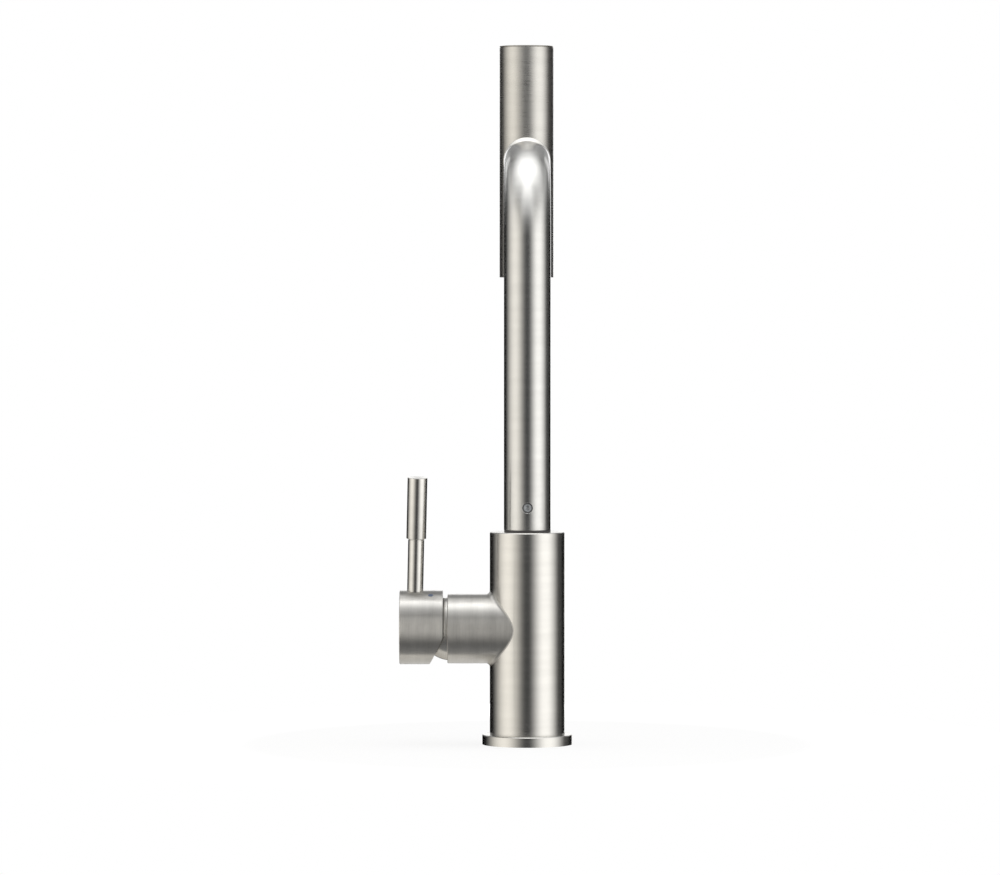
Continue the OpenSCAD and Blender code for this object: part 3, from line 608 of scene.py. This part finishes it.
def new_piece(name, bm, material, body, sharp=35, second=None):
    """Turns a bmesh into a smooth piece with crisp edges that rides on a body."""
    bmesh.ops.remove_doubles(bm, verts=bm.verts, dist=WELD)
    bmesh.ops.recalc_face_normals(bm, faces=bm.faces)
    mesh = bpy.data.meshes.new(name)
    bm.to_mesh(mesh)
    bm.free()
    for face in mesh.polygons:
        face.use_smooth = True
    mesh.set_sharp_from_angle(angle=math.radians(sharp))
    mesh.materials.append(material)
    if second:
        mesh.materials.append(second)
    piece = bpy.data.objects.new(name, mesh)
    bpy.context.scene.collection.objects.link(piece)
    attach(piece, body)
    return piece


def smooth_share(value, low, high):
    """A smooth step from 0 to 1 as value goes from low to high."""
    t = min(1.0, max(0.0, (value - low) / (high - low)))
    return t * t * (3 - 2 * t)


def ring_faces(bm, a, b):
    """Joins two rings of vertices with faces."""
    for i in range(len(a)):
        j = (i + 1) % len(a)
        bm.faces.new((a[i], a[j], b[j], b[i]))


def lathe(bm, profile, centre, axis, side, steps=AROUND):
    """Turns a closed outline of (radius, distance along the axis) points round an axis."""
    other = axis.cross(side)
    made = []
    for radius, along in profile:
        ring = []
        for i in range(steps):
            turn = 2 * math.pi * i / steps
            outward = side * math.cos(turn) + other * math.sin(turn)
            ring.append(bm.verts.new(centre + axis * along + outward * radius))
        made.append(ring)
    for a, b in zip(made, made[1:] + made[:1]):
        ring_faces(bm, a, b)


def rounded(points):
    """Rounds the corners of a closed outline of (radius, distance, corner radius) points.

    A corner takes at most CORNER_SHARE of the edges beside it."""
    outline = []
    for i, point in enumerate(points):
        here = Vector(point[:2])
        before = Vector(points[i - 1][:2]) - here
        after = Vector(points[(i + 1) % len(points)][:2]) - here
        radius = point[2]
        if radius <= 0:
            outline.append(tuple(here))
            continue
        half = before.angle(after) / 2
        reach = min(radius / math.tan(half), before.length * CORNER_SHARE, after.length * CORNER_SHARE)
        start = here + before.normalized() * reach
        end = here + after.normalized() * reach
        for step in range(ROUND_STEPS + 1):
            t = step / ROUND_STEPS
            outline.append(tuple(start * (1 - t) ** 2 + here * 2 * t * (1 - t) + end * t ** 2))
    return outline


# Spout tube: a riser with the set screw's hole, a bend that is pressed flatter outside, a short end
FOOT_STEP = 0.3 * MM
RISER_STEPS = 24
BEND_STEPS = 72
END_STEPS = 4
FLATTENED = 1.95 * MM
INNER_FLATTENED_SHARE = 0.6
PRESS_START, PRESS_FULL = 15, 75
PRESS_POWER = 1.5
HOLE_R = SCREW_R + 0.6 * MM
HOLE_EDGE = 0.15 * MM
HOLE_RINGS = 8
HOLE_EASE = 0.8
PATCH_STEPS = 16
PATCH_COLUMNS = 32
PATCH_HALF_HEIGHT = 10 * MM
RISER = BEND_Z - TUBE_FOOT
BEND_LENGTH = BEND_R * math.pi / 2


def tube_frame(distance):
    """A point of the tube's centre line and the turn so far, by the distance from its foot."""
    if distance <= RISER:
        return Vector((0, 0, TUBE_FOOT + distance)), 0.0
    turn = (distance - RISER) / BEND_R
    if turn <= math.pi / 2:
        return Vector((0, BEND_R * (1 - math.cos(turn)), BEND_Z + BEND_R * math.sin(turn))), turn
    past = distance - RISER - BEND_LENGTH
    return Vector((0, BEND_R + past, DOCK_Z)), math.pi / 2


def tube_point(radius, angle, distance, flat):
    """A point of the tube's wall. The angle is zero at the outer side of the bend."""
    centre, turn = tube_frame(distance)
    outer = Vector((0, -math.cos(turn), math.sin(turn)))
    pressed = flat * smooth_share(math.degrees(turn), PRESS_START, PRESS_FULL)
    out = radius * math.cos(angle)
    out -= pressed * max(0.0, math.cos(angle)) ** PRESS_POWER
    return centre + outer * out + SIDE * (radius * math.sin(angle))


def tube_levels():
    """The distances of the tube's rings, and the number of the first ring beside the hole."""
    low = SCREW_Z - TUBE_FOOT - PATCH_HALF_HEIGHT
    high = SCREW_Z - TUBE_FOOT + PATCH_HALF_HEIGHT
    end = RISER + BEND_LENGTH
    levels = [0.0, FOOT_STEP, low * 0.5]
    first = len(levels)
    levels += [low + (high - low) * i / PATCH_STEPS for i in range(PATCH_STEPS + 1)]
    levels += [high + (RISER - high) * i / RISER_STEPS for i in range(1, RISER_STEPS + 1)]
    levels += [RISER + (end - RISER) * i / BEND_STEPS for i in range(1, BEND_STEPS + 1)]
    levels += [end + END_LENGTH * i / END_STEPS for i in range(1, END_STEPS + 1)]
    return levels, first


def spout_tube(material):
    bm = bmesh.new()
    levels, first = tube_levels()
    angles = [2 * math.pi * i / AROUND for i in range(AROUND)]
    half = PATCH_COLUMNS // 2
    walls = []
    for radius, flat, hole in ((TUBE_R, FLATTENED, HOLE_R + HOLE_EDGE),
                               (TUBE_R - TUBE_WALL, FLATTENED * INNER_FLATTENED_SHARE, HOLE_R)):
        rows = [[bm.verts.new(tube_point(radius, a, d, flat)) for a in angles] for d in levels]
        for j, (a, b) in enumerate(zip(rows, rows[1:])):
            for i in range(AROUND):
                beside_hole = (i < half or i >= AROUND - half) and first <= j < first + PATCH_STEPS
                if not beside_hole:
                    k = (i + 1) % AROUND
                    bm.faces.new((a[i], a[k], b[k], b[i]))
        walls.append((hole_patch(bm, rows, first, radius, hole), rows[0], rows[-1]))
    (hole_a, foot_a, end_a), (hole_b, foot_b, end_b) = walls
    ring_faces(bm, foot_a, foot_b)
    ring_faces(bm, end_a, end_b)
    share = HOLE_R / (HOLE_R + HOLE_EDGE)
    throat = [bm.verts.new((v.co.x * share, v.co.y + HOLE_EDGE, SCREW_Z + (v.co.z - SCREW_Z) * share))
              for v in hole_a]
    ring_faces(bm, hole_a, throat)
    ring_faces(bm, throat, hole_b)
    piece = new_piece("spout_tube_drawn", bm, material, "spout")
    store_tube_grain(piece)
    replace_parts(piece, "spout_tube")


def hole_patch(bm, rows, first, radius, hole):
    """Faces from the edge of a rectangle of the wall to a round hole, whose vertices it gives."""
    half = PATCH_COLUMNS // 2
    last = first + PATCH_STEPS
    columns = [i % AROUND for i in range(-half, half + 1)]
    edge = [rows[first][i] for i in columns]
    edge += [rows[j][columns[-1]] for j in range(first + 1, last + 1)]
    edge += [rows[last][i] for i in reversed(columns[:-1])]
    edge += [rows[j][columns[0]] for j in range(last - 1, first, -1)]
    previous = edge
    for ring in range(1, HOLE_RINGS + 1):
        share = (ring / HOLE_RINGS) ** HOLE_EASE
        made = []
        for v in edge:
            arc = math.asin(max(-1, min(1, v.co.x / radius))) * radius
            up = v.co.z - SCREW_Z
            if ring == HOLE_RINGS:
                turn = math.atan2(up, arc)
                x, z = hole * math.cos(turn), hole * math.sin(turn)
            else:
                place = Vector((arc, up)) * (1 + (hole / math.hypot(arc, up) - 1) * share)
                x, z = radius * math.sin(place.x / radius), place.y
            made.append(bm.verts.new((x, -math.sqrt(radius ** 2 - x ** 2), SCREW_Z + z)))
        ring_faces(bm, previous, made)
        previous = made
    return previous


def store_tube_grain(piece):
    """Keeps, for each vertex, the coordinates and the direction of the lines round the tube."""
    mesh = piece.data
    turned = mesh.attributes.new("turned", "FLOAT_VECTOR", "POINT")
    grain = mesh.attributes.new("grain", "FLOAT_VECTOR", "POINT")
    for index, vertex in enumerate(mesh.vertices):
        p = vertex.co
        if p.z <= BEND_Z:
            distance = p.z - TUBE_FOOT
        elif p.y >= BEND_R:
            distance = RISER + BEND_LENGTH + p.y - BEND_R
        else:
            distance = RISER + BEND_R * math.atan2(p.z - BEND_Z, BEND_R - p.y)
        centre, turn = tube_frame(distance)
        forward = Vector((0, math.sin(turn), math.cos(turn)))
        outer = Vector((0, -math.cos(turn), math.sin(turn)))
        radial = (p - centre).normalized()
        turned.data[index].vector = (radial.dot(outer), radial.x, distance)
        grain.data[index].vector = forward.cross(radial)


# Ring at the dock, with a sloping rear face round the flatter end of the tube
COLLAR_RIM_R = COLLAR_R - 0.35 * MM
COLLAR_RIM_Y = DOCK_Y + 0.8 * MM
COLLAR_SLOPE = 2.55 * MM
COLLAR_BORE_R = BUSH_R + 0.05 * MM
COLLAR_REAR_ROUND = 0.5 * MM
COLLAR_FRONT_ROUND = 0.2 * MM
COLLAR_BORE_ROUND = 0.1 * MM


def dock_collar(material):
    bm = bmesh.new()
    rear = COLLAR_RIM_Y - COLLAR_SLOPE
    outline = rounded([
        (COLLAR_BORE_R, rear, 0), (COLLAR_RIM_R - COLLAR_SLOPE, rear, 0),
        (COLLAR_RIM_R, COLLAR_RIM_Y, COLLAR_REAR_ROUND), (COLLAR_RIM_R, COLLAR_FRONT, COLLAR_FRONT_ROUND),
        (COLLAR_BORE_R, COLLAR_FRONT, COLLAR_BORE_ROUND)])
    lathe(bm, outline, DOCK_CENTRE, ALONG, SIDE)
    piece = new_piece("dock_collar_ring", bm, material, "spout")
    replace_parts(piece, "dock_collar")


# Cap of the spray head, with a V-shaped joint line above the barrel
CAP_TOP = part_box("head_top_cap")[1].z
CAP_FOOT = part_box("head_barrel")[1].z + 0.02 * MM
CAP_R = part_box("head_top_cap")[1].x
CAP_FOOT_R = CAP_R - 0.05 * MM
CAP_EDGE = 0.12 * MM
GROOVE_DEPTH = 0.5 * MM
GROOVE_LOW_WALL = 0.38 * MM


def head_cap(material):
    bm = bmesh.new()
    lathe(bm, [
        (AXIS_R, CAP_FOOT), (CAP_FOOT_R, CAP_FOOT), (CAP_R - GROOVE_DEPTH, CAP_FOOT + GROOVE_LOW_WALL),
        (CAP_R, CAP_TOP - CAP_EDGE), (CAP_R - CAP_EDGE, CAP_TOP), (AXIS_R, CAP_TOP)],
        HEAD_CENTRE, UP, SIDE)
    piece = new_piece("head_cap_turned", bm, material, "head", sharp=20)
    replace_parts(piece, "head_top_cap")


# Fillet between the valve housing and the body
FILLET_R = 2.2 * MM
FILLET_AROUND = 160
FILLET_STEPS = 10


def housing_fillet(material):
    """The path of a ball that rolls along the corner between the two cylinders."""
    bm = bmesh.new()
    rows = []
    for i in range(FILLET_AROUND):
        turn = 2 * math.pi * i / FILLET_AROUND
        side = (ARM_R + FILLET_R) * math.sin(turn)
        up = (ARM_R + FILLET_R) * math.cos(turn)
        out = math.sqrt((BODY_R + FILLET_R) ** 2 - side ** 2)
        ball = Vector((-out, side, ARM_Z + up))
        to_body = Vector((out, -side, 0)).normalized()
        to_arm = Vector((0, -side, -up)).normalized()
        spread = to_body.angle(to_arm)
        row = []
        for k in range(FILLET_STEPS + 1):
            t = k / FILLET_STEPS
            mixed = (to_body * math.sin((1 - t) * spread) + to_arm * math.sin(t * spread)) / math.sin(spread)
            row.append(bm.verts.new(ball + mixed * FILLET_R))
        rows.append(row)
    for a, b in zip(rows, rows[1:] + rows[:1]):
        for i in range(FILLET_STEPS):
            bm.faces.new((a[i], a[i + 1], b[i + 1], b[i]))
    new_piece("housing_fillet", bm, material, "root")


# Lever stem, which steps in just under the grip, and grip. Heights are from the grip's middle.
STEM_R = 4.85 * MM
STEM_FOOT = -50.6 * MM
GRIP_R = 5.95 * MM
GRIP_FOOT = -17.75 * MM
GRIP_TOP = 19.0 * MM
GRIP_BEVEL = 0.3 * MM
GRIP_LOW_ROUND = 0.1 * MM
GRIP_TOP_ROUND = 0.2 * MM
NECK_LENGTH = 0.7 * MM
NECK_INSIDE = 1 * MM
NECK_STEP = 0.25 * MM
NECK_ROUND = 0.12 * MM
LEVER_AROUND = 96


def lever_rods(material):
    side = STEM_AXIS.orthogonal().normalized()
    neck_foot = GRIP_FOOT - NECK_LENGTH
    neck_top = GRIP_FOOT + NECK_INSIDE
    neck_r = STEM_R - NECK_STEP
    bm = bmesh.new()
    outline = rounded([
        (AXIS_R, STEM_FOOT, 0), (STEM_R, STEM_FOOT, 0), (STEM_R, neck_foot, NECK_ROUND),
        (neck_r, neck_foot, 0), (neck_r, neck_top, 0), (AXIS_R, neck_top, 0)])
    lathe(bm, outline, GRIP_CENTRE, STEM_AXIS, side, LEVER_AROUND)
    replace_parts(new_piece("lever_stem_turned", bm, material, "lever"), "lever_stem")
    bm = bmesh.new()
    outline = rounded([
        (AXIS_R, GRIP_FOOT, 0), (GRIP_R - GRIP_BEVEL, GRIP_FOOT, 0),
        (GRIP_R, GRIP_FOOT + GRIP_BEVEL, GRIP_LOW_ROUND), (GRIP_R, GRIP_TOP, GRIP_TOP_ROUND),
        (AXIS_R, GRIP_TOP, 0)])
    lathe(bm, outline, GRIP_CENTRE, STEM_AXIS, side, LEVER_AROUND)
    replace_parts(new_piece("lever_grip_turned", bm, material, "lever"), "lever_grip")


# Spout set screw with its socket, by depths from its face
SCREW_SUNK = 0.35 * MM
SCREW_LENGTH = 5.5 * MM
SCREW_BEVEL = 0.35 * MM
SCREW_POINTS = 48
SCREW_MIDDLE_R = 0.02 * MM
SOCKET_R = 1.45 * MM
SOCKET_DEPTH = 1.7 * MM
SOCKET_POINT = 0.5 * MM
SOCKET_MARGIN = 0.5 * MM

# Dark ring of painted shade in the gap round the set screw, by depths from the tube's back
SHADE_RING_OVERLAP = 0.05 * MM
SHADE_RING_SUNK = 0.5 * MM
SHADE_RING_SLOPE = 0.25 * MM
SHADE_RING_BACK = 1.1 * MM
SHADE_RING_POINTS = 64


def hexagon(radius, angle):
    """How far a hexagon with an inscribed circle of this radius reaches at an angle."""
    turn = (angle + math.pi / 6) % (math.pi / 3) - math.pi / 6
    return radius / math.cos(turn)


def set_screw(material, socket, shade_ring):
    face_y = -TUBE_R + SCREW_SUNK
    turns = [2 * math.pi * i / SCREW_POINTS for i in range(SCREW_POINTS)]
    rings = []
    for radius, depth in ((SCREW_MIDDLE_R, SCREW_LENGTH), (SCREW_R, SCREW_LENGTH), (SCREW_R, SCREW_BEVEL),
                          (SCREW_R - SCREW_BEVEL, 0.0)):
        rings.append([(radius, depth, a) for a in turns])
    for depth in (0.0, SOCKET_DEPTH):
        rings.append([(hexagon(SOCKET_R, a), depth, a) for a in turns])
    rings.append([(SCREW_MIDDLE_R, SOCKET_DEPTH + SOCKET_POINT, a) for a in turns])
    bm = bmesh.new()
    made = [[bm.verts.new((r * math.cos(a), face_y + d, SCREW_Z + r * math.sin(a))) for r, d, a in ring]
            for ring in rings]
    for a, b in zip(made, made[1:]):
        ring_faces(bm, a, b)
    bm.faces.new(made[0])
    bm.faces.new(made[-1])
    # The socket's faces take the darker metal, which is painted shade in the recess.
    for face in bm.faces:
        reach = max(math.hypot(v.co.x, v.co.z - SCREW_Z) for v in face.verts)
        face.material_index = 1 if reach < SCREW_R - SOCKET_MARGIN else 0
    piece = new_piece("set_screw_socket", bm, material, "spout", sharp=25, second=socket)
    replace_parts(piece, "spout_set_screw")
    # A dark ring of painted shade fills the gap between the screw and its hole.
    bm = bmesh.new()
    inner, outer = SCREW_R - SHADE_RING_OVERLAP, HOLE_R + SHADE_RING_OVERLAP
    outline = [(inner, SHADE_RING_SUNK), (outer, SHADE_RING_SUNK + SHADE_RING_SLOPE), (outer, SHADE_RING_BACK),
               (inner, SHADE_RING_BACK)]
    lathe(bm, outline, Vector((0, -TUBE_R, SCREW_Z)), ALONG, SIDE, SHADE_RING_POINTS)
    new_piece("set_screw_shade_ring", bm, shade_ring, "spout")


# Ring under the tube
RING_WIDTH = 3 * MM
RING_INSET = 0.1 * MM
RING_FOOT = BODY_TOP + 0.05 * MM
RING_TOP = BODY_TOP + RING_SHOWN
RING_LOW_ROUND = 0.1 * MM
RING_TOP_ROUND = 0.2 * MM


def swivel_ring(material):
    bm = bmesh.new()
    inner, outer = TUBE_R - RING_WIDTH, TUBE_R - RING_INSET
    outline = rounded([
        (inner, RING_FOOT, 0), (outer, RING_FOOT, RING_LOW_ROUND), (outer, RING_TOP, RING_TOP_ROUND),
        (inner, RING_TOP, 0)])
    lathe(bm, outline, Vector(), UP, SIDE)
    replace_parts(new_piece("swivel_ring_turned", bm, material, "root"), "swivel_ring")


studio_world()
soft_box()
floor()
camera()
cad_materials()
spout_tube(brushed("brushed_tube", **TUBE_FINISH))
dock_collar(brushed("brushed_collar", DOCK_CENTRE, ALONG, **COLLAR_FINISH))
head_cap(brushed("brushed_cap", HEAD_CENTRE, UP, **HEAD_FINISH))
lever_rods(brushed("brushed_stem", GRIP_CENTRE, STEM_AXIS, **STEM_FINISH))
set_screw(brushed("socket_steel", SCREW_CENTRE, ALONG, **SCREW_FINISH),
          # the darker socket metal is painted shade in the recess
          brushed("socket_inside_painted_shade", SCREW_CENTRE, ALONG, **SOCKET_SHADE_FINISH),
          # the dark ring is painted shade in the gap round the screw
          moulded("painted_shade_ring", (0.14, 0.14, 0.145), 0.5))
swivel_ring(moulded("ring_nylon", (0.085, 0.08, 0.08), 0.4))
housing_fillet(brushed("brushed_fillet", ARM_CENTRE, OUT, COARSE_ROUGHNESS, COARSE_ANISOTROPY,
                       lines=COARSE_LINES))
bpy.context.scene.view_settings.view_transform = "Standard"
